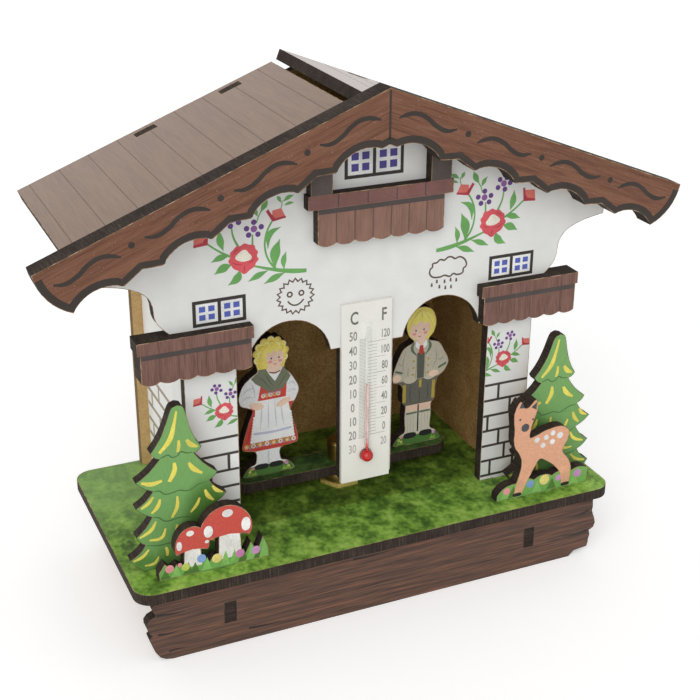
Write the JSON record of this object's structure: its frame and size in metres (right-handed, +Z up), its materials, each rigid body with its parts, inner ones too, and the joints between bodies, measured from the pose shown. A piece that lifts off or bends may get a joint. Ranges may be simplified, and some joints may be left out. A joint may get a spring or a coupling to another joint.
{
  "type": "weather house",
  "caption": "Alpine weather house of printed laser-cut sheet: a pair of figures on a bar turns on a bimetal coil behind arched doorways, with a thermometer on the middle post.",
  "frame": {"origin": "on the spindle's axis, at the bottom of the plinth, which is also the bottom centre of the overall box", "axes": "+X to the viewer's right across the house, +Y from the front to the back, +Z up"},
  "size_m": [0.174, 0.0706, 0.143],
  "materials": {
    "grass_print": "matt grass print on sheet board, charred cut edges",
    "log_print": "matt dark log print on sheet board, charred cut edges",
    "raw_board": "bare golden board, charred cut edges",
    "wall_print": "matt off-white print on sheet board, charred cut edges",
    "barge_print": "matt dark wood print on sheet board, charred cut edges",
    "roof_print": "matt weathered plank print on sheet board, charred cut edges",
    "balcony_print": "matt plank print on sheet board, charred cut edges",
    "tree_print": "matt fir print on sheet board, charred cut edges",
    "toadstool_print": "matt toadstool print on sheet board, charred cut edges",
    "fawn_print": "matt fawn print on sheet board, charred cut edges",
    "bar_print": "matt green print on sheet board, charred cut edges",
    "woman_print": "matt figure print on sheet board, charred cut edges",
    "man_print": "matt figure print on sheet board, charred cut edges",
    "hub_brass": "turned, satin",
    "steel": "drawn bright",
    "bimetal": "rolled strip, satin",
    "card": "satin white card with printed scales",
    "tube_glass": "clear drawn glass",
    "spirit": "dyed red spirit"
  },
  "bodies": {
    "house": {"base_deck": "grass_print", "plinth_front": "log_print", "plinth_back": "log_print", "plinth_side_left": "raw_board", "plinth_side_right": "raw_board", "front_wall": "wall_print", "side_wall_left": "wall_print", "side_wall_right": "wall_print", "rear_wall": "raw_board", "barge_board_front": "barge_print", "barge_board_back": "barge_print", "roof_panel_left": "roof_print", "roof_panel_right": "roof_print", "centre_balcony": "balcony_print", "left_balcony": "balcony_print", "right_balcony": "balcony_print", "left_tree": "tree_print", "right_tree": "tree_print", "mushroom_group": "toadstool_print", "fawn_group": "fawn_print", "pivot_spindle": "steel", "base_nut": "hub_brass", "coil_anchor_pin": "steel", "bimetal_coil": "bimetal", "thermometer_card": "card", "thermometer_tube": "tube_glass", "thermometer_spirit": "spirit"},
    "figures": {"figure_bar": "bar_print", "woman_figure": "woman_print", "man_figure": "man_print", "bar_hub": "hub_brass"}
  },
  "joints": [
    {"name": "figures_turn", "type": "hinge", "parent": "house", "child": "figures", "pos_m": [0, 0, 0.0302], "axis": [0, 0, 1], "range_deg": [-40, 40], "stiffness_Nm_per_rad": 0.001, "deforming": ["bimetal_coil"]}
  ]
}
